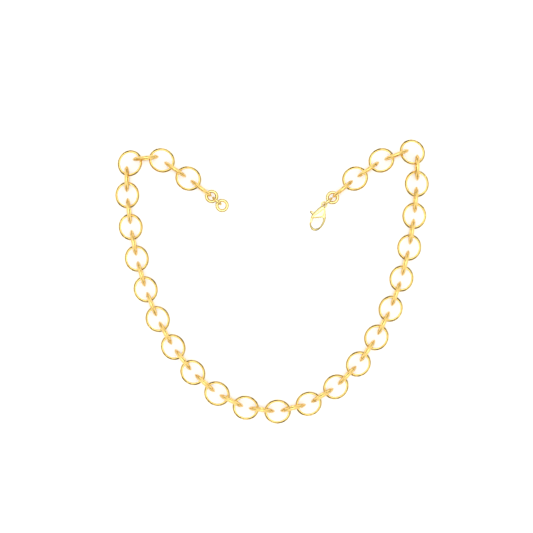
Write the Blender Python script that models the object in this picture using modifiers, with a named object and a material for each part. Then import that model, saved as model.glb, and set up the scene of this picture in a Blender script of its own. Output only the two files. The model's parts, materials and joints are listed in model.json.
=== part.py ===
"""Chain necklace, laid out in a U with its two ends folded inwards.

Fifty-one equal oval links lie flat and stand on edge by turns. The middle link lies flat, and a
branch of the chain runs from it to each side. The left branch ends in a small jump ring, a small
upright link and the tail ring. The right branch ends in a small jump ring, a small upright link
and a lobster clasp, which hooks into the tail ring when the necklace is worn.

Metres, +Z up. Every link hangs on an empty that stands on its hinge, and each empty is the child
of the one before it, so turning an empty moves the rest of that branch as the real chain moves.
"""

import math

import bmesh
import bpy
from mathutils import Matrix, Vector

MM = 0.001

# The large links: an oval band with rounded edges
LINK_LENGTH = 13.3 * MM
LINK_WIDTH = 12.1 * MM
LINK_WALL = 1.25 * MM
LINK_BAND = 1.95 * MM
PITCH = 16.03 * MM  # from one flat link's centre to the next
FLAT_LINKS = 25
MIDDLE = 13  # the flat link at the bottom of the U, counted from the left end

# How far the chain turns at each flat link, in degrees: a steady sweep plus the round bottom
SWEEP_TURN = 2.91
BOTTOM_TURN = 18.04
BOTTOM_CENTRE = 12.83
BOTTOM_SPREAD = 2.61
MIDDLE_HEADING = 14.0
# the flat links of the two shoulders, where the ends are folded inwards
SHOULDER_TURNS = {1: 2.9, 2: 39.6, 3: 80.2, 4: 10.9, 22: 12.4, 23: 97.0, 24: 19.8, 25: 5.4}
# A slack link can lie a little askew in its neighbours: a flat one turned, in degrees, and an
# upright one moved sideways, in mm to the left as the branch runs outwards, and turned, in degrees
SLIP = {"link_05": (1.8, 1), "link_07": (0.9, 5), "link_45": (-1.3, -8), "link_47": (-0.7, 7)}
ASKEW = {1: 8, 2: -12, 3: 20, 23: -10, 24: 4, 25: -10}

# The small fittings at the two ends
RING_WIDTH = 6.75 * MM
RING_WIRE = 1.6 * MM
SMALL_LENGTH = 6.1 * MM
SMALL_WIDTH = 5.2 * MM
SMALL_WALL = 1.05 * MM
SMALL_BAND = 1.4 * MM
TIP_GAP = 0.05 * MM  # from a large link's tip to the jump ring's centre
TAIL_PITCH = 6.95 * MM  # jump ring to tail ring
TAIL_TURN = -3.7
CLASP_LINK_AT = 3.2 * MM  # jump ring's centre to the clasp link's
CLASP_AT = 5.45 * MM  # jump ring's centre to the clasp's eye
CLASP_TURN = 27.6

# The clasp, from its eye's centre along +X to the tip of the claw, with the lever on the -Y side
EYE_RADIUS = 1.75 * MM
EYE_HOLE = 1.0 * MM
EYE_THICK = 1.5 * MM
BODY_THICK = 2.6 * MM
BODY_END = 14.15 * MM
SLOT_THICK = 1.5 * MM
LEVER_THICK = 1.2 * MM
GATE_THICK = 2.2 * MM
PIVOT = Vector((4.3 * MM, -1.0 * MM, 0))
PIN_RADIUS = 0.4 * MM
PIN_BORE = 0.5 * MM
LEVER_BORE = 0.52 * MM
GATE_REACH = 7.3 * MM  # from the pivot to the claw's tip
SPRING_RADIUS = 0.45 * MM
SPRING_WIRE = 0.11 * MM
SPRING_TURNS = 3

LINK_STEPS = 20
RING_STEPS = 16
# A wire's cross-section, as the upper corners from its outer to its inner side, in half walls
# outwards and half bands upwards. The large links are cut to an outer ridge.
RIDGED = ((1.0, 0.24), (-0.3, 1.0), (-1.0, 0.82))
ROUND = ((1.0, 0.55), (0.0, 1.0), (-1.0, 0.55))

# base colour, roughness
METALS = {
    "link_gold": ((0.83, 0.62, 0.28), 0.16),
    "ring_gold": ((0.82, 0.62, 0.30), 0.18),
    "clasp_gold": ((0.86, 0.68, 0.33), 0.14),
    "lever_gold": ((0.86, 0.66, 0.31), 0.18),
    "pin_gold": ((0.70, 0.52, 0.25), 0.25),
    "spring_steel": ((0.62, 0.60, 0.57), 0.30),
}


def clear_scene():
    for obj in list(bpy.data.objects):
        bpy.data.objects.remove(obj, do_unlink=True)


def new_collection(name, hidden=False):
    collection = bpy.data.collections.new(name)
    bpy.context.scene.collection.children.link(collection)
    collection.hide_render = hidden
    return collection


def metal(name):
    """A polished metal, made once and then shared."""
    if name in bpy.data.materials:
        return bpy.data.materials[name]
    colour, roughness = METALS[name]
    material = bpy.data.materials.new(name)
    material.use_nodes = True
    shader = material.node_tree.nodes["Principled BSDF"]
    shader.inputs["Base Color"].default_value = (*colour, 1)
    shader.inputs["Metallic"].default_value = 1
    shader.inputs["Roughness"].default_value = roughness
    return material


def finish_mesh(mesh):
    mesh.shade_smooth()
    mesh.set_sharp_from_angle(angle=math.radians(50))


# ---- shapes -------------------------------------------------------------------------------


def band_section(wall, band, corners):
    """A closed wire's cross-section from its upper corners, mirrored below."""
    upper = [(out * wall / 2, up * band / 2) for out, up in corners]
    return upper + [(out, -up) for out, up in reversed(upper)]


def oval_link(name, length, width, wall, band, corners, steps):
    """A closed oval link in the XY plane, long along X. The section is spun round a circle of the
    link's width, and the circle is then stretched to its length. A flat of the outside lies at
    each end of both axes, as far out as the true oval."""
    circumscribed = 1 / math.cos(math.pi / steps)
    start = Matrix.Rotation(math.pi / steps, 3, "Z")
    shape = bmesh.new()
    knots = []
    for out, up in band_section(wall, band, corners):
        reach = (width / 2 - wall / 2 + out) * circumscribed
        knots.append(shape.verts.new(start @ Vector((reach, 0, up))))
    loop = [shape.edges.new((knots[i - 1], knots[i])) for i in range(len(knots))]
    bmesh.ops.spin(
        shape, geom=knots + loop, cent=(0, 0, 0), axis=(0, 0, 1), angle=2 * math.pi, steps=steps
    )
    bmesh.ops.remove_doubles(shape, verts=shape.verts, dist=1e-6)
    bmesh.ops.scale(shape, vec=(length / width, 1, 1), verts=shape.verts)
    bmesh.ops.recalc_face_normals(shape, faces=shape.faces)
    mesh = bpy.data.meshes.new(name)
    shape.to_mesh(mesh)
    shape.free()
    finish_mesh(mesh)
    return mesh


def place(mesh, name, parent, material, collection, location=(0, 0, 0), rotation=(0, 0, 0)):
    """A new object of this mesh, under its parent empty."""
    obj = bpy.data.objects.new(name, mesh)
    collection.objects.link(obj)
    obj.parent = parent
    obj.location = location
    obj.rotation_euler = rotation
    if not mesh.materials:
        mesh.materials.append(metal(material))
    return obj


def add_empty(name, collection, parent=None, location=(0, 0, 0), turn=0.0):
    """An empty that stands on a hinge. turn is its heading about +Z against its parent's."""
    empty = bpy.data.objects.new(name, None)
    empty.empty_display_size = 2 * MM
    collection.objects.link(empty)
    empty.parent = parent
    empty.location = location
    empty.rotation_euler = (0, 0, turn)
    return empty


def cylinder(name, radius, depth, centre, sides=24):
    shape = bmesh.new()
    bmesh.ops.create_cone(
        shape, cap_ends=True, segments=sides, radius1=radius, radius2=radius, depth=depth,
        matrix=Matrix.Translation(centre),
    )
    mesh = bpy.data.meshes.new(name)
    shape.to_mesh(mesh)
    shape.free()
    return mesh


def flat_outline(name, loops, thickness, resolution=5):
    """A plate in the XY plane from closed Bezier outlines. A point is (x, y, handle x, handle y) in
    mm: its handles stand that far ahead and behind it, and a zero handle makes a corner."""
    curve = bpy.data.curves.new(name, "CURVE")
    curve.dimensions = "2D"
    curve.fill_mode = "BOTH"
    curve.extrude = thickness / 2
    curve.resolution_u = resolution
    for points in loops:
        spline = curve.splines.new("BEZIER")
        spline.bezier_points.add(len(points) - 1)
        spline.use_cyclic_u = True
        for knot, (x, y, dx, dy) in zip(spline.bezier_points, points):
            knot.co = (x * MM, y * MM, 0)
            knot.handle_right = ((x + dx) * MM, (y + dy) * MM, 0)
            knot.handle_left = ((x - dx) * MM, (y - dy) * MM, 0)
    helper = bpy.data.objects.new(name, curve)
    bpy.context.scene.collection.objects.link(helper)
    graph = bpy.context.evaluated_depsgraph_get()
    mesh = bpy.data.meshes.new_from_object(helper.evaluated_get(graph))
    bpy.data.objects.remove(helper, do_unlink=True)
    shape = bmesh.new()
    shape.from_mesh(mesh)
    bmesh.ops.remove_doubles(shape, verts=shape.verts, dist=1e-6)
    bmesh.ops.recalc_face_normals(shape, faces=shape.faces)
    shape.to_mesh(mesh)
    shape.free()
    return mesh


def sector(name, centre, radius, start, end, thickness, steps=14):
    """A thick slice of a disc, from one heading to another, in degrees."""
    headings = [math.radians(start + (end - start) * i / steps) for i in range(steps + 1)]
    rim = [centre + radius * Vector((math.cos(a), math.sin(a), 0)) for a in headings]
    shape = bmesh.new()
    corners = [shape.verts.new(p - Vector((0, 0, thickness / 2))) for p in [centre.copy(), *rim]]
    face = shape.faces.new(corners)
    moved = bmesh.ops.extrude_face_region(shape, geom=[face])["geom"]
    top = [v for v in moved if isinstance(v, bmesh.types.BMVert)]
    bmesh.ops.translate(shape, vec=(0, 0, thickness), verts=top)
    bmesh.ops.recalc_face_normals(shape, faces=shape.faces)
    mesh = bpy.data.meshes.new(name)
    shape.to_mesh(mesh)
    shape.free()
    return mesh


def boolean(obj, other, operation, cutters):
    """Joins or cuts obj with another mesh, which stays as a hidden helper beside it."""
    helper = bpy.data.objects.new(other.name, other)
    cutters.objects.link(helper)
    helper.parent = obj.parent
    helper.location = obj.location
    helper.rotation_euler = obj.rotation_euler
    helper.hide_render = True
    helper.display_type = "WIRE"
    modifier = obj.modifiers.new(other.name, "BOOLEAN")
    modifier.operation = operation
    modifier.solver = "EXACT"
    modifier.object = helper


# ---- the chain ----------------------------------------------------------------------------


def turn_at(flat):
    """How far the chain turns at this flat link, in degrees."""
    if flat in SHOULDER_TURNS:
        return SHOULDER_TURNS[flat]
    away = (flat - BOTTOM_CENTRE) / BOTTOM_SPREAD
    return SWEEP_TURN + BOTTOM_TURN / (1 + away * away)


def wall_reach(heading):
    """From a large link's centre to the middle of its wall, on a heading from its long axis."""
    end_wall = LINK_WALL * LINK_LENGTH / LINK_WIDTH
    along = (LINK_LENGTH - end_wall) / 2
    across = (LINK_WIDTH - LINK_WALL) / 2
    return along * across / math.hypot(across * math.cos(heading), along * math.sin(heading))


def heading_vector(distance, heading):
    return Vector((distance * math.cos(heading), distance * math.sin(heading), 0))


class Branch:
    """One half of the chain, built link by link from the middle link outwards."""

    def __init__(self, side, link_mesh, collection, middle, heading):
        self.side = side  # +1 to the right of the middle link, -1 to its left
        self.mesh = link_mesh
        self.collection = collection
        self.flat = MIDDLE
        self.parent = middle
        self.offset = Vector((0, 0, 0))  # the last flat link's centre in its empty's frame
        self.heading = heading  # of the chain as it leaves that link, in the same frame
        self.long_axis = 0.0  # of that link, in the same frame

    def link_name(self, flat, upright):
        return f"link_{2 * flat + (self.side if upright else 0):02d}"

    def add_upright(self):
        """An upright link through the last flat link. Its hinge lies along that link's wall."""
        name = self.link_name(self.flat, True)
        slip, skew = SLIP.get(name, (0, 0))
        slip *= MM
        self.skew = math.radians(skew)
        to_wall = wall_reach(self.heading - self.long_axis)
        slip_at_wall = slip - (PITCH / 2 - to_wall) * math.sin(self.skew)
        crossing = self.heading + math.asin(slip_at_wall / to_wall)
        start = self.offset + heading_vector(wall_reach(crossing - self.long_axis), crossing)
        turn = self.heading + self.skew
        hinge = add_empty(f"hinge_{name}", self.collection, self.parent, start, turn)
        middle = self.offset + heading_vector(PITCH / 2, self.heading)
        middle += heading_vector(slip, self.heading + math.pi / 2)
        self.centre = (middle - start).dot(heading_vector(1, turn))
        next_flat = self.offset + heading_vector(PITCH, self.heading)
        self.ahead = Matrix.Rotation(-turn, 3, "Z") @ (next_flat - start)
        place(
            self.mesh, name, hinge, "link_gold", self.collection,
            (self.centre, 0, 0), (math.pi / 2, 0, 0),
        )
        self.parent = hinge

    def add_flat(self):
        """The next flat link. Its hinge is upright, in the end wall of the link before it."""
        self.flat += self.side
        turn = self.side * math.radians(turn_at(self.flat))
        to_wall = wall_reach(0)
        askew = math.radians(ASKEW.get(self.flat, 0))
        name = self.link_name(self.flat, False)
        start = Vector((self.centre + to_wall, 0, 0))
        hinge_turn = turn / 2 - self.skew
        hinge = add_empty(
            f"hinge_{name}", self.collection, self.parent, start, hinge_turn
        )
        self.offset = Matrix.Rotation(-hinge_turn, 3, "Z") @ (self.ahead - start)
        self.long_axis = askew
        place(
            self.mesh, name, hinge, "link_gold", self.collection, self.offset, (0, 0, askew)
        )
        self.parent = hinge
        self.heading = turn / 2

    def add_jump_ring(self, ring_mesh, name):
        """The small ring on the last upright link. Its hinge is in that link's end wall."""
        to_wall = wall_reach(0)
        hinge = add_empty(
            f"hinge_{name}", self.collection, self.parent, (self.centre + to_wall, 0, 0)
        )
        centre = LINK_LENGTH / 2 + TIP_GAP - to_wall
        place(ring_mesh, name, hinge, "ring_gold", self.collection, (centre, 0, 0))
        self.parent = hinge
        self.ring_centre = centre

    def add_small_upright(self, small_mesh, name, distance, turn):
        """The small upright link through the jump ring. Its hinge lies along the ring's wire."""
        heading = math.radians(turn)
        reach = (RING_WIDTH - RING_WIRE) / 2
        hinge = add_empty(
            f"hinge_{name}", self.collection, self.parent,
            Vector((self.ring_centre, 0, 0)) + heading_vector(reach, heading), heading,
        )
        place(
            small_mesh, name, hinge, "ring_gold", self.collection,
            (distance - reach, 0, 0), (math.pi / 2, 0, 0),
        )
        self.parent = hinge
        self.centre = distance - reach
        self.reach = reach


def build_chain(collection, base):
    """The middle link and both branches of large links. Returns (left branch, right branch)."""
    link = oval_link("link", LINK_LENGTH, LINK_WIDTH, LINK_WALL, LINK_BAND, RIDGED, LINK_STEPS)
    half = math.radians(turn_at(MIDDLE)) / 2
    middle_turn = math.radians(MIDDLE_HEADING) - half
    middle = add_empty("middle", collection, base, turn=middle_turn)
    place(link, f"link_{2 * MIDDLE:02d}", middle, "link_gold", collection)
    branches = (
        Branch(-1, link, collection, middle, math.pi - half),
        Branch(1, link, collection, middle, half),
    )
    for branch in branches:
        last = 1 if branch.side < 0 else FLAT_LINKS
        while branch.flat != last:
            branch.add_upright()
            branch.add_flat()
        # the end link's own turn sets the heading of the last upright link
        branch.add_upright()
    return branches


# ---- the clasp ----------------------------------------------------------------------------


def clasp_body(parent, collection, cutters):
    """Eye, spring housing and claw in one casting, cut open for the lever."""
    outline = [
        (1.2, 0.9, -0.5, -0.1),
        (1.2, -0.9, 0.5, -0.1),
        (8.4, -3.85, 3.0, 0.0),
        (BODY_END / MM, -0.2, 0.0, 2.1),
        (8.2, 3.6, -3.0, 0.0),
    ]
    mouth = [
        (6.3, 1.45, 0.6, -0.6),
        (8.0, -1.6, 0.9, -1.2),
        (10.6, -2.75, 1.2, 0.15),
        (12.95, -0.1, 0.0, 1.4),
        (9.4, 2.65, -1.3, 0.0),
    ]
    body = place(
        flat_outline("clasp_body", [outline, mouth], BODY_THICK), "clasp_body", parent,
        "clasp_gold", collection,
    )
    bevel = body.modifiers.new("soft edges", "BEVEL")
    bevel.width = 0.28 * MM
    bevel.segments = 1
    bevel.limit_method = "ANGLE"
    bevel.angle_limit = math.radians(60)
    centre = Vector((0, 0, 0))
    boolean(body, cylinder("eye", EYE_RADIUS, EYE_THICK, centre), "UNION", cutters)
    boolean(body, cylinder("eye hole", EYE_HOLE, 5 * MM, centre), "DIFFERENCE", cutters)
    boolean(
        body, sector("gate gap", PIVOT + Vector((1.1 * MM, 0, 0)), GATE_REACH - 1.1 * MM, -62, -8,
                     5 * MM), "DIFFERENCE", cutters,
    )
    boolean(
        body, flat_outline("slot", [[
            (2.9, 0.25, 0, 0), (2.9, -4.5, 0, 0), (8.6, -4.5, 0, 0), (8.6, -0.9, 0, 0),
            (6.4, 1.0, 0, 0), (4.4, 1.0, 0, 0),
        ]], SLOT_THICK), "DIFFERENCE", cutters,
    )
    boolean(body, cylinder("pin bore", PIN_BORE, 5 * MM, PIVOT), "DIFFERENCE", cutters)
    return body


def clasp_lever(parent, collection, cutters):
    """The gate with its root round the pin and its thumb tab. Its origin is on the pin's axis."""
    x, y = PIVOT.x / MM, PIVOT.y / MM
    arm = [
        (3.45 - x, -1.0 - y, 0.0, -0.45),
        (4.5 - x, -2.2 - y, 0.6, -0.35),
        (8.3 - x, -3.75 - y, 1.6, -0.1),
        (11.0 - x, -3.4 - y, 0, 0),
        (11.2 - x, -2.35 - y, 0, 0),
        (8.6 - x, -2.45 - y, -1.0, 0.15),
        (5.5 - x, -1.0 - y, -0.5, 0.35),
        (4.3 - x, -0.2 - y, -0.45, 0.0),
    ]
    lever = place(
        flat_outline("clasp_lever", [arm], LEVER_THICK, 4), "clasp_lever", parent,
        "lever_gold", collection,
    )
    tab = [
        (6.9 - x, -3.0 - y, 0, 0),
        (6.2 - x, -5.0 - y, -0.1, -0.25),
        (5.3 - x, -4.75 - y, 0.0, 0.3),
        (5.7 - x, -2.4 - y, 0, 0),
    ]
    boolean(lever, flat_outline("thumb tab", [tab], LEVER_THICK * 0.9, 3), "UNION", cutters)
    gate = [
        (8.45 - x, -2.5 - y, 0.0, -0.3),
        (8.45 - x, -3.7 - y, 0.3, 0.0),
        (10.9 - x, -3.38 - y, 0.1, 0.1),
        (11.1 - x, -2.4 - y, -0.2, 0.0),
    ]
    boolean(lever, flat_outline("gate end", [gate], GATE_THICK, 3), "UNION", cutters)
    bore = cylinder("lever bore", LEVER_BORE, 5 * MM, Vector((0, 0, 0)), 16)
    boolean(lever, bore, "DIFFERENCE", cutters)
    return lever


def clasp_spring(parent, collection):
    """A small compression coil between the housing and the lever."""
    curve = bpy.data.curves.new("clasp_spring", "CURVE")
    curve.dimensions = "3D"
    curve.bevel_depth = SPRING_WIRE
    curve.bevel_resolution = 0
    curve.use_fill_caps = True
    per_turn = 10
    count = SPRING_TURNS * per_turn + 1
    spline = curve.splines.new("POLY")
    spline.points.add(count - 1)
    length = 1.25 * MM
    for i, point in enumerate(spline.points):
        angle = 2 * math.pi * i / per_turn
        along = length * i / (count - 1)
        point.co = (
            5.55 * MM + SPRING_RADIUS * math.cos(angle), -0.55 * MM + along,
            SPRING_RADIUS * math.sin(angle), 1,
        )
    curve.materials.append(metal("spring_steel"))
    spring = bpy.data.objects.new("clasp_spring", curve)
    collection.objects.link(spring)
    spring.parent = parent
    return spring


def build_clasp(collection, cutters, hinge):
    """The lobster clasp. hinge is the empty at its eye."""
    clasp_body(hinge, collection, cutters)
    lever_hinge = add_empty("hinge_clasp_lever", collection, hinge, PIVOT)
    clasp_lever(lever_hinge, collection, cutters)
    pin = cylinder("clasp_pivot_pin", PIN_RADIUS, BODY_THICK - 0.1 * MM, Vector((0, 0, 0)), 16)
    place(pin, "clasp_pivot_pin", hinge, "pin_gold", collection, PIVOT)
    clasp_spring(hinge, collection)


def build_ends(collection, cutters, left, right):
    """The fittings past the last large links."""
    ring = oval_link("ring", RING_WIDTH, RING_WIDTH, RING_WIRE, RING_WIRE, ROUND, RING_STEPS)
    small = oval_link(
        "small_link", SMALL_LENGTH, SMALL_WIDTH, SMALL_WALL, SMALL_BAND, ROUND, RING_STEPS
    )
    left.add_jump_ring(ring, "tail_jump_ring")
    left.add_small_upright(small, "tail_link", TAIL_PITCH / 2, TAIL_TURN)
    end_wall = (SMALL_LENGTH - SMALL_WALL * SMALL_LENGTH / SMALL_WIDTH) / 2
    tail = add_empty(
        "hinge_tail_ring", collection, left.parent, (left.centre + end_wall, 0, 0)
    )
    place(
        ring, "tail_ring", tail, "ring_gold", collection,
        (TAIL_PITCH - left.reach - left.centre - end_wall, 0, 0),
    )
    right.add_jump_ring(ring, "clasp_jump_ring")
    right.add_small_upright(small, "clasp_link", CLASP_LINK_AT, 0)
    eye = add_empty(
        "hinge_clasp_body", collection, right.parent, (CLASP_AT - right.reach, 0, 0),
        math.radians(CLASP_TURN),
    )
    build_clasp(collection, cutters, eye)


def stand_on_table(base, collection):
    """Moves the whole necklace so that its box's bottom centre is the origin."""
    bpy.context.view_layer.update()
    graph = bpy.context.evaluated_depsgraph_get()
    corners = []
    for obj in collection.objects:
        if obj.type == "MESH":
            shape = obj.evaluated_get(graph)
            corners += [shape.matrix_world @ v.co for v in shape.data.vertices]
    low = Vector(min(c[i] for c in corners) for i in range(3))
    high = Vector(max(c[i] for c in corners) for i in range(3))
    base.location -= Vector(((low.x + high.x) / 2, (low.y + high.y) / 2, low.z))


def build():
    clear_scene()
    necklace = new_collection("chain_necklace")
    cutters = new_collection("cutters", hidden=True)
    base = add_empty("necklace_base", necklace)
    left, right = build_chain(necklace, base)
    build_ends(necklace, cutters, left, right)
    stand_on_table(base, necklace)


build()
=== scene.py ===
"""The looks of the chain necklace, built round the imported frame.

Every link, ring and clasp part gets its own finely modelled piece in the place of its CAD node, in
polished gold plate, and the clasp's coil in drawn steel. Places and sizes come from the frame.
Lengths are in metres, apart from the outlines of the clasp's parts, which are in mm.
"""

import json
import math

import bmesh
import bpy
import numpy as np
from mathutils import Matrix, Vector


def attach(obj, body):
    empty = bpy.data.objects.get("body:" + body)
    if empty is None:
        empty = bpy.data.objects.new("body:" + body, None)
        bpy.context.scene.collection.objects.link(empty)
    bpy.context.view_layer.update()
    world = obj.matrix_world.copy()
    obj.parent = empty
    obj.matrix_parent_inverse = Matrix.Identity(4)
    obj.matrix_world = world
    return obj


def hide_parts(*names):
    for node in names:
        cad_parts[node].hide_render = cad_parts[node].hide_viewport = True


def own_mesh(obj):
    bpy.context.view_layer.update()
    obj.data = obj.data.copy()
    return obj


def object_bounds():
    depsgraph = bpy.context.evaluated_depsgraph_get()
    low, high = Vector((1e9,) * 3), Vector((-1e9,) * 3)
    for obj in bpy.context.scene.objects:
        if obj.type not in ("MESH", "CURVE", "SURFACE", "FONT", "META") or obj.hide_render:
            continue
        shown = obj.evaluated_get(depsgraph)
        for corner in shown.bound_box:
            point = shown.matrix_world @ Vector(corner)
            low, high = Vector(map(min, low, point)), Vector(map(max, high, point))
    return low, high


MM = 0.001

# The wire of the large links, the rings and the small links
LINK_WALL = 1.25 * MM
RING_WALL = 1.6 * MM
SMALL_WALL = 1.05 * MM
# A wire's cross-section, as the upper corners from its outer to its inner side, in half walls
# outwards and half bands upwards. The large links are cut to an outer ridge.
RIDGED = ((1.0, 0.24), (-0.3, 1.0), (-1.0, 0.82))
TURNED = ((1.0, 0.32), (0.45, 0.86), (0.0, 1.0), (-0.45, 0.86), (-1.0, 0.32))
RIDGE_ROUND = 0.18 * MM  # how far a rounding reaches along its facets
ROUND_SHARE = 0.45  # of a short facet, at most, goes to the rounding at one end
LINK_WAVE = 0.12 * MM  # how far the hand-finished facets roll
ALONG = 112  # steps round an oval
FILLET_STEPS = 5
ROUND_STEPS = 28
ROUND_POWER = 2.15  # 2 is an ellipse, more is squarer
ROUND_RATIO = 1.02  # an oval that is no longer than this for its width counts as round
TOP_SIDE = Vector((0.1, 0.2, 1))  # an oval's top is its face on this side

# The soldered seam: half its width, the stretch round it without other steps, in those halves, and
# its groove as (place, share of its depth)
SEAM_HALF = 0.09 * MM
SEAM_CLEAR = 2.2
SEAM_GROOVE = ((-2, 0.0), (-1, 0.15), (0, 1.0), (1, 0.15), (2, 0.0))

# Each wire: its section, its wall, where its seam is and how deep, as a share of the wire
LINK_WIRE = (RIDGED, LINK_WALL, math.pi / 2, 0.02)
RING_WIRE = (TURNED, RING_WALL, 0.7 * math.pi, 0.10)
SMALL_WIRE = (TURNED, SMALL_WALL, 0.7 * math.pi, 0.05)

# The clasp, from its eye's centre along +X to the tip of the claw, with the lever on the -Y side
PIVOT = Vector((4.3, -1.0, 0.0)) * MM
BODY_THICK = 2.6 * MM
EYE_MIDDLE = 1.36 * MM
EYE_WIRE = 0.36 * MM
EYE_HOLE = 0.98 * MM  # clears the housing out of the eye, and stays just off its wire
EYE_HALF = 0.75 * MM
SLOT_THICK = 1.5 * MM
LEVER_THICK = 1.2 * MM
GATE_THICK = 2.2 * MM
RECESS_DEPTH = 0.3 * MM
PIN_RADIUS = 0.4 * MM
PIN_LENGTH = 2.5 * MM
PIN_EDGE = 0.12 * MM
BODY_PLAY = 0.03 * MM  # between the pin and its bore in the body
LEVER_PLAY = 0.05 * MM  # the same in the lever
DRILL = 5 * MM  # longer than any wall
SPRING_X = 5.55 * MM
SPRING_END = -0.55 * MM
SPRING_RISE = 1.25 * MM
SPRING_RADIUS = 0.45 * MM
SPRING_WIRE = 0.11 * MM
SPRING_TURNS = 3
SPRING_STEPS = 28  # in each turn
MERGE = 1e-6  # points nearer than this are one

# Each metal: its tint where it is light and where it is deep, and its roughness
LINK_METAL = ((0.815, 0.58, 0.20), (0.705, 0.475, 0.145), 0.08)
RING_METAL = ((0.76, 0.59, 0.25), (0.64, 0.47, 0.17), 0.10)
CLASP_METAL = ((0.82, 0.67, 0.27), (0.72, 0.56, 0.20), 0.10)
# The lever's tints are a darker copy of the casting's gold: painted shade, for the darker, more
# olive look its faces have in this light
LEVER_SHADED_METAL = ((0.70, 0.53, 0.24), (0.58, 0.42, 0.17), 0.13)
PIN_METAL = ((0.84, 0.62, 0.30), (0.74, 0.53, 0.24), 0.24)
SPRING_METAL = ((0.66, 0.64, 0.61), (0.55, 0.53, 0.50), 0.28)
# How fine each pattern on the metal is, in waves to the metre
TINT_DRIFT = 260
SMUDGES = 520
ROLLING = 900
PEEL = 3500
HAIRLINES = (9000, 500, 1500)
SEED_SHIFT = (3.1, 5.3, 7.7)  # moves the patterns from piece to piece
HAIR_SHARE = 0.175  # of the relief, the rest is peel
RELIEF_DEPTH = 0.02 * MM
RELIEF_STRENGTH = 0.10

# The view: straight down, from far away
VIEW_HEIGHT = 1.5
VIEW_WIDTH = 0.2665
VIEW_SHIFT = Vector((-0.00278, 0.0075, 0.0))
VIEW_END = 10
SENSOR = 36.0

# The floor
FLOOR_HALF = 1.5
FLOOR_WHITE = 0.96

# The light: how bright the ceiling is at each height (the sine of the rise above the horizon), and
# the dark flags, each as heading, rise and reach in degrees
CEILING = [
    (0.0, 0.60), (0.25, 0.68), (0.50, 0.9), (0.66, 1.3), (0.80, 1.85), (0.95, 1.9), (0.985, 4.2),
]
FLAGS = [(42, 4, 24), (112, 4, 24), (232, 4, 30), (292, 4, 28)]
FLAG_SHADE = 0.22
FLAG_CORE = 0.4  # of its reach, fully dark


# ---- objects and meshes -------------------------------------------------------------------


def add_object(name, data):
    obj = bpy.data.objects.new(name, data)
    bpy.context.scene.collection.objects.link(obj)
    return obj


def new_piece(name, mesh, place, body, replaced, material):
    """A piece that rides on a body in the place of CAD nodes."""
    obj = add_object(name, mesh)
    obj.matrix_world = place
    mesh.materials.clear()
    mesh.materials.append(material)
    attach(obj, body)
    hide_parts(*replaced)
    return obj


def mesh_of(name, shape):
    """A mesh from a shape, which is used up."""
    mesh = bpy.data.meshes.new(name)
    shape.to_mesh(mesh)
    shape.free()
    return mesh


def closed_mesh(name, shape):
    """A mesh from a closed shape, with its faces turned outwards."""
    bmesh.ops.recalc_face_normals(shape, faces=shape.faces)
    return mesh_of(name, shape)


def shown_mesh(obj):
    """The mesh that an object shows, after its modifiers or from its curve."""
    graph = bpy.context.evaluated_depsgraph_get()
    return bpy.data.meshes.new_from_object(obj.evaluated_get(graph))


def mesh_of_curve(name, curve):
    helper = add_object(name, curve)
    mesh = shown_mesh(helper)
    bpy.data.objects.remove(helper, do_unlink=True)
    return mesh


def smooth(mesh, angle):
    """Shades a mesh smooth but for edges sharper than an angle in degrees."""
    mesh.shade_smooth()
    mesh.set_sharp_from_angle(angle=math.radians(angle))


def bridge(shape, before, ring):
    """A strip of faces between two rings of points."""
    for k in range(len(ring)):
        shape.faces.new((before[k - 1], before[k], ring[k], ring[k - 1]))


def closed_loft(name, shape, rings):
    """A closed mesh through rings of points that lead back to the first one."""
    for i, ring in enumerate(rings):
        bridge(shape, rings[i - 1], ring)
    return closed_mesh(name, shape)


# ---- links and rings ----------------------------------------------------------------------


def round_section(wall, band):
    """A round wire's cross-section, as points (outwards, along the axis)."""
    power = 2 / ROUND_POWER
    points = []
    for k in range(ROUND_STEPS):
        turn = 2 * math.pi * k / ROUND_STEPS
        c, s = math.cos(turn), math.sin(turn)
        points.append((
            math.copysign(abs(c) ** power, c) * wall / 2,
            math.copysign(abs(s) ** power, s) * band / 2,
        ))
    return points


def cut_section(wall, band, upper_corners):
    """A cross-section of flat facets with softly rounded edges between them."""
    upper = [Vector((out * wall / 2, up * band / 2)) for out, up in upper_corners]
    corners = upper + [Vector((p.x, -p.y)) for p in reversed(upper)]
    points = []
    for i, corner in enumerate(corners):
        back = corners[i - 1] - corner
        ahead = corners[(i + 1) % len(corners)] - corner
        back *= min(ROUND_SHARE, RIDGE_ROUND / back.length)
        ahead *= min(ROUND_SHARE, RIDGE_ROUND / ahead.length)
        for k in range(FILLET_STEPS):
            t = k / (FILLET_STEPS - 1)
            point = corner + back * (1 - t) ** 2 + ahead * t ** 2
            points.append((point.x, point.y))
    return points


def oval_mesh(name, length, width, band, wire):
    """A closed oval wire, long along X, with a fine soldered seam across it."""
    corners, wall, seam_at, seam_depth = wire
    half = SEAM_HALF / (width / 2)
    rows = []
    for i in range(ALONG):
        angle = 2 * math.pi * i / ALONG
        if abs(math.remainder(angle - seam_at, 2 * math.pi)) > SEAM_CLEAR * half:
            rows.append((angle, 0.0))
    for step, depth in SEAM_GROOVE:
        rows.append(((seam_at + step * half) % (2 * math.pi), depth))
    rows.sort()
    stretch = length / width
    middle = (width - wall) / 2
    shape = bmesh.new()
    rings = []
    for angle, depth in rows:
        shrink = 1 - seam_depth * depth
        ring = []
        for out, up in cut_section(wall * shrink, band * shrink, corners):
            reach = middle + out
            ring.append(shape.verts.new((
                reach * math.cos(angle) * stretch, reach * math.sin(angle), up,
            )))
        rings.append(ring)
    mesh = closed_loft(name, shape, rings)
    mesh.shade_smooth()
    return mesh


def node_points(node):
    """A CAD node's points, one in each row."""
    mesh = frame["nodes"][node].data
    points = np.empty(len(mesh.vertices) * 3)
    mesh.vertices.foreach_get("co", points)
    return points.reshape(-1, 3)


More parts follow.
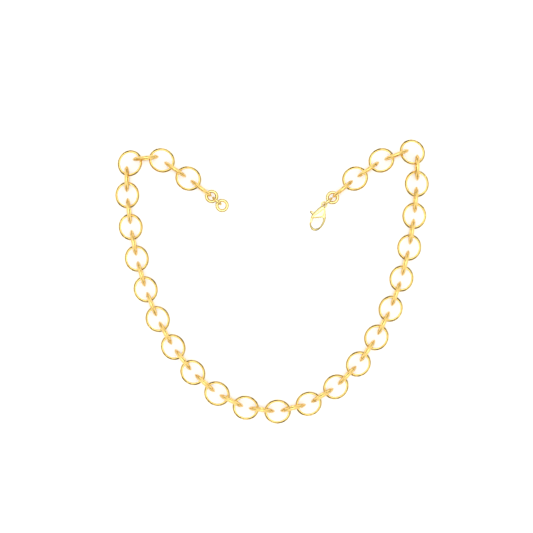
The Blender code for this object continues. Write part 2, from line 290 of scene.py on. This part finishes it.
def oval_place(node, towards):
    """Where an oval node lies: (matrix, length, width, band). Its own axes are found from its
    points, and a round one, which has no long axis, is turned to face a point."""
    points = node_points(node)
    centre = (points.max(0) + points.min(0)) / 2
    spread, axes = np.linalg.eigh(np.cov((points - points.mean(0)).T))
    axis = Vector(axes[:, 0])
    if spread[2] / spread[1] > ROUND_RATIO:
        long_axis = Vector(axes[:, 2])
    else:
        long_axis = towards - Vector(centre)
        long_axis -= axis * long_axis.dot(axis)
        long_axis.normalize()
    if axis.dot(TOP_SIDE) < 0:
        axis = -axis
    if long_axis.dot(towards - Vector(centre)) < 0:
        long_axis = -long_axis
    across = axis.cross(long_axis)
    turned = (points - centre) @ np.array([long_axis, across, axis]).T
    length, width, band = turned.max(0) - turned.min(0)
    place = Matrix((long_axis, across, axis)).transposed().to_4x4()
    place.translation = Vector(centre)
    return place, length, width, band


def body_of_node(node):
    return next(body for body, nodes in behaviour["bodies"].items() if node in nodes)


def joint_position(child, fallback=None):
    """Where the joint is that carries a body. The root body has none."""
    for joint in behaviour["joints"]:
        if joint["child"] == child:
            return Vector(joint["pos_m"])
    return fallback


def build_oval(node, wire, slot_name, material, shapes):
    """One closed link or ring, in the place of its node. shapes keeps each size that is made."""
    body = body_of_node(node)
    place, length, width, band = oval_place(node, joint_position(body, Vector((0, 1, 0))))
    key = (slot_name, round(length * 1e5), round(width * 1e5))
    if key not in shapes:
        shapes[key] = oval_mesh(f"{node}_shape", length, width, band, wire)
    new_piece(f"{node}_band", shapes[key].copy(), place, body, [node], material)


def build_chain():
    link_metal = metal("plated_link_gold", LINK_METAL, LINK_WAVE)
    ring_metal = metal("plated_ring_gold", RING_METAL)
    shapes = {}
    for node in sorted(frame["nodes"]):
        if node.startswith("link_"):
            build_oval(node, LINK_WIRE, "link_gold", link_metal, shapes)
        elif node.endswith("_ring"):
            build_oval(node, RING_WIRE, "ring_gold", ring_metal, shapes)
        elif node in ("tail_link", "clasp_link"):
            build_oval(node, SMALL_WIRE, "ring_gold", ring_metal, shapes)


# ---- materials ----------------------------------------------------------------------------


def add_node(tree, kind, settings=None, inputs=None):
    node = tree.nodes.new(kind)
    for key, value in (settings or {}).items():
        setattr(node, key, value)
    for key, value in (inputs or {}).items():
        node.inputs[key].default_value = value
    return node


def noise(tree, place, scale, detail):
    """Soft noise, in waves to the metre."""
    node = add_node(tree, "ShaderNodeTexNoise", inputs={"Scale": scale, "Detail": detail})
    tree.links.new(place, node.inputs["Vector"])
    return node.outputs["Fac"]


def ramp(tree, source, stops):
    """A colour ramp with stops (position, colour or grey)."""
    node = tree.nodes.new("ShaderNodeValToRGB")
    elements = node.color_ramp.elements
    while len(elements) < len(stops):
        elements.new(0.5)
    for element, (position, colour) in zip(elements, stops):
        element.position = position
        element.color = (*colour, 1) if isinstance(colour, tuple) else (colour, colour, colour, 1)
    tree.links.new(source, node.inputs["Fac"])
    return node.outputs["Color"]


def pattern_place(tree):
    """Object coordinates, moved by a random amount from piece to piece."""
    place = add_node(tree, "ShaderNodeTexCoord").outputs["Object"]
    seed = add_node(tree, "ShaderNodeObjectInfo").outputs["Random"]
    shift = add_node(tree, "ShaderNodeVectorMath", {"operation": "SCALE"})
    shift.inputs[0].default_value = SEED_SHIFT
    tree.links.new(seed, shift.inputs["Scale"])
    moved = add_node(tree, "ShaderNodeVectorMath", {"operation": "ADD"})
    tree.links.new(place, moved.inputs[0])
    tree.links.new(shift.outputs[0], moved.inputs[1])
    return moved.outputs[0]


def metal(name, looks, wavy=0.0):
    """Polished metal: its tint drifts a little, hairline scratches and a fine orange peel lie on
    it, it is rubbed brighter along its ridges, and its facets roll by wavy."""
    light, deep, roughness = looks
    material = bpy.data.materials.new(name)
    material.use_nodes = True
    tree = material.node_tree
    shader = tree.nodes["Principled BSDF"]
    shader.inputs["Metallic"].default_value = 1.0
    place = pattern_place(tree)

    tint = ramp(tree, noise(tree, place, TINT_DRIFT, 2.0), [(0.35, deep), (0.65, light)])
    ridge = add_node(tree, "ShaderNodeNewGeometry").outputs["Pointiness"]
    worn = ramp(tree, ridge, [(0.50, 0.0), (0.60, 1.0)])
    colour = add_node(tree, "ShaderNodeMix", {"data_type": "RGBA"})
    tree.links.new(worn, colour.inputs["Factor"])
    tree.links.new(tint, colour.inputs["A"])
    colour.inputs["B"].default_value = (*light, 1)
    tree.links.new(colour.outputs["Result"], shader.inputs["Base Color"])

    stretch = add_node(tree, "ShaderNodeMapping", inputs={"Scale": HAIRLINES})
    tree.links.new(place, stretch.inputs["Vector"])
    hairs = noise(tree, stretch.outputs["Vector"], 1.0, 3.0)
    dull = add_node(tree, "ShaderNodeMapRange", inputs={
        "From Min": 0.3, "From Max": 0.75, "To Min": roughness * 0.75, "To Max": roughness * 1.5,
    })
    tree.links.new(noise(tree, place, SMUDGES, 4.0), dull.inputs["Value"])
    streaks = ramp(tree, hairs, [(0.62, 0.0), (0.72, 0.05)])
    rough = add_node(tree, "ShaderNodeMath", {"operation": "ADD"})
    tree.links.new(dull.outputs["Result"], rough.inputs[0])
    tree.links.new(streaks, rough.inputs[1])
    tree.links.new(rough.outputs["Value"], shader.inputs["Roughness"])

    rolling = add_node(tree, "ShaderNodeBump", inputs={"Strength": 1.0, "Distance": wavy})
    tree.links.new(noise(tree, place, ROLLING, 0.5), rolling.inputs["Height"])
    relief = add_node(tree, "ShaderNodeMix", inputs={"Factor": HAIR_SHARE})
    tree.links.new(noise(tree, place, PEEL, 1.0), relief.inputs["A"])
    tree.links.new(hairs, relief.inputs["B"])
    bump = add_node(tree, "ShaderNodeBump", inputs={
        "Strength": RELIEF_STRENGTH, "Distance": RELIEF_DEPTH,
    })
    tree.links.new(relief.outputs["Result"], bump.inputs["Height"])
    tree.links.new(rolling.outputs["Normal"], bump.inputs["Normal"])
    tree.links.new(bump.outputs["Normal"], shader.inputs["Normal"])
    return material


# ---- the clasp ----------------------------------------------------------------------------


def plate(name, corners, thickness):
    """A flat plate in the XY plane from its corners, each (x, y) in mm."""
    curve = bpy.data.curves.new(name, "CURVE")
    curve.dimensions = "2D"
    curve.fill_mode = "BOTH"
    curve.extrude = thickness / 2
    curve.resolution_u = 10
    spline = curve.splines.new("BEZIER")
    spline.bezier_points.add(len(corners) - 1)
    spline.use_cyclic_u = True
    for knot, (x, y) in zip(spline.bezier_points, corners):
        at = (x * MM, y * MM, 0)
        knot.co = at
        knot.handle_right = at
        knot.handle_left = at
    shape = bmesh.new()
    shape.from_mesh(mesh_of_curve(name, curve))
    bmesh.ops.remove_doubles(shape, verts=shape.verts, dist=MERGE)
    return closed_mesh(name, shape)


def smooth_line(points, steps=8):
    """A closed smooth line through points, each (x, y) in mm."""
    knots = [Vector(p) * MM for p in points]
    count = len(knots)
    line = []
    for i, b in enumerate(knots):
        a, c, d = knots[i - 1], knots[(i + 1) % count], knots[(i + 2) % count]
        for k in range(steps):
            t = k / steps
            bend = (2 * a - 5 * b + 4 * c - d) * t ** 2 + (3 * b - a - 3 * c + d) * t ** 3
            line.append(b + ((c - a) * t + bend) / 2)
    return line


def cushion(name, outer, inner, levels):
    """A closed cushion, the same above and below, drawn from an outer line in to an inner one.
    levels says how each face runs in from the rim: (how far, from 0 to 1, and how high)."""
    rim, core = smooth_line(outer), smooth_line(inner)
    shape = bmesh.new()
    edge = [shape.verts.new((p.x, p.y, 0)) for p in rim]
    for side in (1, -1):
        before = edge
        for inwards, height in levels:
            ring = []
            for p, q in zip(rim, core):
                at = p.lerp(q, inwards)
                ring.append(shape.verts.new((at.x, at.y, side * height)))
            bridge(shape, before, ring)
            before = ring
        shape.faces.new(before)
    return closed_mesh(name, shape)


def arm_between(name, outer, inner, section, steps=10):
    """A closed arm that runs between an outer and an inner line, each open and smooth through its
    points in mm. section is (how far in, from 0 to 1, and how high), for its upper half."""
    lines = []
    for points in (outer, inner):
        first = [2 * a - b for a, b in zip(points[0], points[1])]
        last = [2 * a - b for a, b in zip(points[-1], points[-2])]
        whole = smooth_line([first, *points, last], steps)
        lines.append(whole[steps:steps * len(points) + 1])
    loop = section + [(inwards, -height) for inwards, height in reversed(section)]
    shape = bmesh.new()
    rings = []
    for p, q in zip(*lines):
        ring = []
        for inwards, height in loop:
            at = p.lerp(q, inwards)
            ring.append(shape.verts.new((at.x, at.y, height)))
        rings.append(ring)
    for before, ring in zip(rings, rings[1:]):
        bridge(shape, before, ring)
    shape.faces.new(rings[0])
    shape.faces.new(rings[-1])
    return closed_mesh(name, shape)


def crowned(height):
    """Levels of a cushion with a steep rim, a slope and a low crown."""
    return [(0.0, 0.62 * height), (0.45, 0.93 * height), (1.0, height)]


def sloped(height):
    """Levels of a cushion that slopes from a low rim to a ridge, just below a crown's height."""
    return [(0.0, 0.3 * height), (0.5, 0.68 * height), (1.0, 0.95 * height)]


def cylinder(radius, depth, centre, sides):
    """A shape that stands along Z."""
    shape = bmesh.new()
    bmesh.ops.create_cone(
        shape, cap_ends=True, segments=sides, radius1=radius, radius2=radius, depth=depth,
        matrix=Matrix.Translation(centre),
    )
    return shape


def drill(name, radius, centre, sides):
    """A cutter for a hole along Z."""
    return mesh_of(name, cylinder(radius, DRILL, centre, sides))


def turned_ring(name, middle, wire, half, steps=72):
    """A ring about Z with a rounded section, wire wide either way and half high either way."""
    shape = bmesh.new()
    rings = []
    for i in range(steps):
        a = 2 * math.pi * i / steps
        ring = []
        for out, up in round_section(2 * wire, 2 * half):
            ring.append(shape.verts.new((
                (middle + out) * math.cos(a), (middle + out) * math.sin(a), up,
            )))
        rings.append(ring)
    return closed_loft(name, shape, rings)


def carve(mesh, steps):
    """Joins and cuts a mesh with others, in turn, and returns the result."""
    obj = add_object("carving", mesh)
    for other, operation in steps:
        tool = add_object(other.name, other)
        modifier = obj.modifiers.new("step", "BOOLEAN")
        modifier.operation = operation
        modifier.solver = "EXACT"
        modifier.object = tool
        result = shown_mesh(obj)
        obj.modifiers.clear()
        obj.data = result
        bpy.data.objects.remove(tool, do_unlink=True)
    mesh = obj.data
    bpy.data.objects.remove(obj, do_unlink=True)
    smooth(mesh, 35)
    return mesh


def clasp_frame():
    """The clasp's own axes in the world, from its eye's joint and its lever's pivot."""
    eye = joint_position("clasp")
    to_pivot = joint_position("lever") - eye
    turn = math.atan2(to_pivot.y, to_pivot.x) - math.atan2(PIVOT.y, PIVOT.x)
    return Matrix.Translation(eye) @ Matrix.Rotation(turn, 4, "Z")


def build_clasp_body(place, material):
    """Eye, spring housing and claw in one casting, with a shallow recess in each face."""
    claw_outer = [
        (5.4, 2.9), (6.9, 3.45), (8.2, 3.6), (11.13, 3.06),
        (13.28, 1.7), (14.15, -0.2), (13.29, -2.11), (11.5, -3.28),
    ]
    claw_inner = [
        (5.4, 1.3), (6.9, 2.2), (8.0, 2.55), (10.9, 2.25),
        (12.45, 1.1), (12.95, -0.1), (12.35, -1.7), (11.2, -2.64),
    ]
    housing = [
        (1.2, 0.9), (1.2, -0.9), (5.0, -2.95), (8.3, -3.8),
        (8.15, -1.95), (6.5, 1.25), (6.3, 3.3), (3.5, 2.2),
    ]
    recess = [
        (2.5, 0.75), (2.7, 0.3), (4.2, -0.4), (7.3, -2.5),
        (7.5, -2.1), (6.15, 0.55), (5.3, 1.35), (3.6, 1.35),
    ]
    slot = [(2.9, 0.25), (2.9, -4.5), (8.6, -4.5), (8.6, -0.9), (6.4, 1.0), (4.4, 1.0)]
    top = BODY_THICK / 2
    swell = [
        (0.0, 0.6 * top), (0.18, 0.85 * top), (0.45, 0.98 * top), (0.6, top),
        (0.85, top - 0.08 * MM), (0.97, top - 0.2 * MM), (1.0, top - RECESS_DEPTH),
    ]
    ridge = [
        (0.0, 0.71 * top), (0.33, 0.94 * top), (0.5, top), (0.67, 0.94 * top), (1.0, 0.71 * top),
    ]
    mesh = carve(cushion("housing", housing, recess, swell), [
        (arm_between("claw", claw_outer, claw_inner, ridge), "UNION"),
        (turned_ring("eye", EYE_MIDDLE, EYE_WIRE, EYE_HALF), "UNION"),
        (drill("eye_hole", EYE_HOLE, Vector((0, 0, 0)), 48), "DIFFERENCE"),
        (plate("slot", slot, SLOT_THICK), "DIFFERENCE"),
        (drill("pin_bore", PIN_RADIUS + BODY_PLAY, PIVOT, 32), "DIFFERENCE"),
    ])
    new_piece("clasp_casting", mesh, place, "clasp", ["clasp_body"], material)


def build_lever(place, material):
    """The gate with its root round the pin, its thumb tab and its thick end."""
    arm = [
        (3.45, -1.0), (4.3, -2.1), (6.2, -3.2), (8.3, -3.72),
        (10.9, -3.4), (11.1, -2.5), (8.6, -2.45), (5.5, -1.0), (4.3, -0.2),
    ]
    arm_core = [
        (3.9, -1.0), (4.5, -1.65), (6.3, -2.7), (8.4, -3.2),
        (10.6, -3.05), (10.7, -2.8), (8.5, -2.95), (5.8, -1.8), (4.4, -0.7),
    ]
    tab = [(7.0, -3.0), (6.3, -5.0), (5.8, -5.2), (5.3, -4.9), (5.6, -2.6), (6.2, -2.0)]
    tab_core = [(6.5, -3.0), (6.0, -4.6), (5.8, -4.7), (5.7, -4.6), (5.9, -2.8), (6.2, -2.5)]
    end = [
        (8.5, -2.5), (8.35, -3.1), (8.5, -3.7), (9.7, -3.62),
        (10.95, -3.4), (11.1, -2.9), (11.1, -2.38), (9.8, -2.35),
    ]
    end_core = [
        (8.9, -2.85), (8.85, -3.1), (8.9, -3.35), (9.7, -3.3),
        (10.6, -3.1), (10.7, -2.9), (10.7, -2.7), (9.8, -2.75),
    ]
    half = LEVER_THICK / 2
    mesh = carve(cushion("gate", arm, arm_core, crowned(half)), [
        (cushion("tab", tab, tab_core, sloped(half)), "UNION"),
        (cushion("gate_end", end, end_core, crowned(GATE_THICK / 2)), "UNION"),
        (drill("lever_bore", PIN_RADIUS + LEVER_PLAY, PIVOT, 32), "DIFFERENCE"),
    ])
    new_piece("clasp_gate", mesh, place, "lever", ["clasp_lever"], material)


def build_pin(place, material):
    """The rivet across the housing, with rounded rims."""
    shape = cylinder(PIN_RADIUS, PIN_LENGTH, PIVOT, 40)
    rims = [e for e in shape.edges if abs(e.verts[0].co.z - e.verts[1].co.z) < MERGE]
    bmesh.ops.bevel(
        shape, geom=rims, offset=PIN_EDGE, segments=4, profile=0.5, affect="EDGES",
    )
    mesh = mesh_of("pin", shape)
    smooth(mesh, 60)
    new_piece("clasp_rivet", mesh, place, "clasp", ["clasp_pivot_pin"], material)


def build_spring(place, material):
    """The small compression coil between the housing and the lever."""
    curve = bpy.data.curves.new("coil", "CURVE")
    curve.dimensions = "3D"
    curve.bevel_depth = SPRING_WIRE
    curve.bevel_resolution = 3
    curve.use_fill_caps = True
    last = SPRING_TURNS * SPRING_STEPS
    spline = curve.splines.new("POLY")
    spline.points.add(last)
    for i, point in enumerate(spline.points):
        angle = 2 * math.pi * i / SPRING_STEPS
        point.co = (
            SPRING_X + SPRING_RADIUS * math.cos(angle), SPRING_END + SPRING_RISE * i / last,
            SPRING_RADIUS * math.sin(angle), 1,
        )
    mesh = mesh_of_curve("coil", curve)
    smooth(mesh, 60)
    coil = new_piece(
        "clasp_coil", mesh, place, "clasp", ["clasp_spring"], material
    )
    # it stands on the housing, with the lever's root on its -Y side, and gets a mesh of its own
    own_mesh(coil)


def build_clasp():
    place = clasp_frame()
    build_clasp_body(place, metal("plated_clasp_gold", CLASP_METAL))
    # the lever gets the darker copy of the gold, which is painted shade
    build_lever(place, metal("plated_lever_gold", LEVER_SHADED_METAL))
    build_pin(place, metal("plated_pin_gold", PIN_METAL))
    build_spring(place, metal("drawn_spring_steel", SPRING_METAL))


# ---- the stage ----------------------------------------------------------------------------


def build_floor():
    shape = bmesh.new()
    bmesh.ops.create_grid(shape, x_segments=8, y_segments=8, size=FLOOR_HALF)
    mesh = mesh_of("floor", shape)
    floor = add_object("floor", mesh)
    floor.location.z = cad_box[0][2]
    material = bpy.data.materials.new("floor_paper")
    material.use_nodes = True
    shader = material.node_tree.nodes["Principled BSDF"]
    shader.inputs["Base Color"].default_value = (FLOOR_WHITE, FLOOR_WHITE, FLOOR_WHITE, 1)
    shader.inputs["Roughness"].default_value = 0.9
    shader.inputs["Specular IOR Level"].default_value = 0.1
    mesh.materials.append(material)


def dark_flag(tree, place, heading, rise, reach):
    """1 away from a dark flag that hangs at a heading and a rise above the horizon, in degrees,
    and FLAG_SHADE in the middle of it."""
    a, b = math.radians(heading), math.radians(rise)
    near = add_node(tree, "ShaderNodeVectorMath", {"operation": "DOT_PRODUCT"})
    near.inputs[1].default_value = (
        math.cos(a) * math.cos(b), math.sin(a) * math.cos(b), math.sin(b),
    )
    tree.links.new(place, near.inputs[0])
    shade = add_node(tree, "ShaderNodeMapRange", {"interpolation_type": "SMOOTHSTEP"}, {
        "From Min": math.cos(math.radians(reach)),
        "From Max": math.cos(math.radians(reach * FLAG_CORE)),
        "To Min": 1.0, "To Max": FLAG_SHADE,
    })
    tree.links.new(near.outputs["Value"], shade.inputs["Value"])
    return shade.outputs["Result"]


def build_world():
    """A bright soft ceiling over a darker horizon with a few dark flags round it."""
    world = bpy.data.worlds.new("studio")
    bpy.context.scene.world = world
    world.use_nodes = True
    tree = world.node_tree
    sky = tree.nodes["Background"]
    place = tree.nodes.new("ShaderNodeTexCoord").outputs["Generated"]
    split = tree.nodes.new("ShaderNodeSeparateXYZ")
    tree.links.new(place, split.inputs[0])
    light = ramp(tree, split.outputs["Z"], CEILING)
    for heading, rise, reach in FLAGS:
        held = add_node(tree, "ShaderNodeMath", {"operation": "MULTIPLY"})
        tree.links.new(light, held.inputs[0])
        tree.links.new(dark_flag(tree, place, heading, rise, reach), held.inputs[1])
        light = held.outputs["Value"]
    tree.links.new(light, sky.inputs["Strength"])
    sky.inputs["Color"].default_value = (1, 1, 1, 1)


def build_camera():
    camera = bpy.data.cameras.new("camera")
    camera.sensor_width = SENSOR
    camera.lens = SENSOR * VIEW_HEIGHT / VIEW_WIDTH
    camera.clip_end = VIEW_END
    eye = add_object("camera", camera)
    middle = (Vector(cad_box[0]) + Vector(cad_box[1])) / 2
    eye.location = middle + VIEW_SHIFT + Vector((0, 0, VIEW_HEIGHT))
    bpy.context.scene.camera = eye


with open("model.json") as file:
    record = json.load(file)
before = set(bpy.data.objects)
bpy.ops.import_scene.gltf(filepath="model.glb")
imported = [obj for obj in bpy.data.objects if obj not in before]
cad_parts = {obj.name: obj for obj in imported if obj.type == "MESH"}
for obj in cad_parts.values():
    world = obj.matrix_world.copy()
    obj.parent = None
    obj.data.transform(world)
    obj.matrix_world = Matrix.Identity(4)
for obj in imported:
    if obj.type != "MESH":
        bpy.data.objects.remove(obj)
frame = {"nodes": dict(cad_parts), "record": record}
cad_box = [list(corner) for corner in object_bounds()]
behaviour = frame["record"]["behaviour"]

build_camera()
build_chain()
build_clasp()
build_floor()
build_world()
bpy.context.scene.view_settings.view_transform = "Standard"
bpy.context.view_layer.update()
